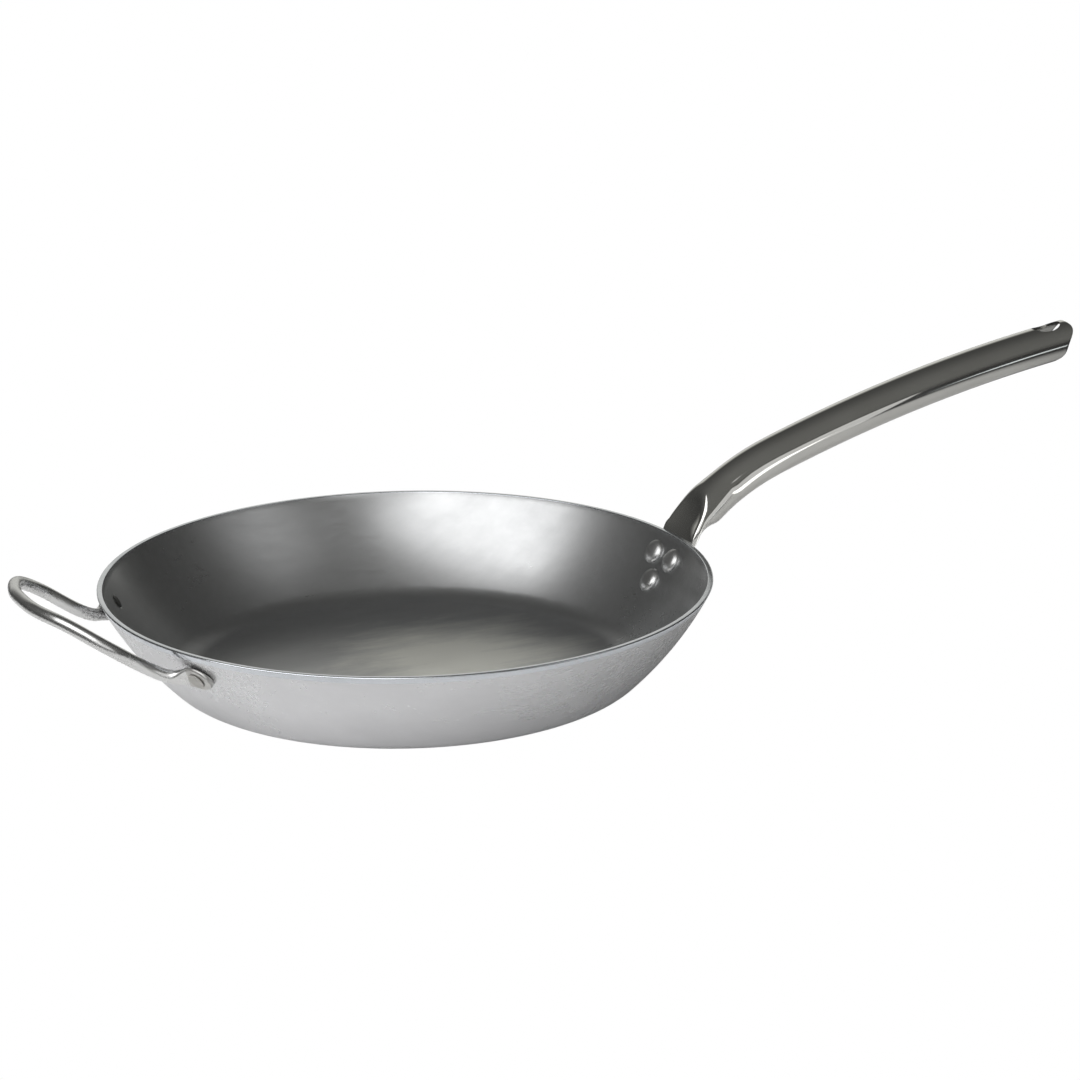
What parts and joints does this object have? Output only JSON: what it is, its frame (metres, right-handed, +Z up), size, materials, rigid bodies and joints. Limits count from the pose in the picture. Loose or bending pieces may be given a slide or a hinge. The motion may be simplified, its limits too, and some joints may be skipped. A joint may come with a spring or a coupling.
{
  "type": "frying pan",
  "caption": "Wide flat-bottomed steel frying pan with flared sides, a long riveted tube handle with a hanging hole and a riveted rod helper handle opposite.",
  "frame": {"origin": "centre of the pan's flat underside, on the surface that it stands on", "axes": "+X along the long handle, +Z up out of the pan, +Y to the left of the handle seen from the pan"},
  "size_m": [0.691, 0.3596, 0.1618],
  "materials": {
    "carbon_steel": "satin brushed bare carbon steel, polished at the rim",
    "polished_stainless": "mirror-polished stainless steel tube",
    "rod_stainless": "polished stainless steel rod",
    "rivet_steel": "satin steel rivet"
  },
  "bodies": {
    "root": {"pan_body": "carbon_steel", "handle_tube": "polished_stainless", "helper_handle": "rod_stainless", "handle_rivet_upper_left": "rivet_steel", "handle_rivet_upper_right": "rivet_steel", "handle_rivet_lower": "rivet_steel", "helper_rivet_back": "rivet_steel", "helper_rivet_front": "rivet_steel"}
  },
  "joints": []
}
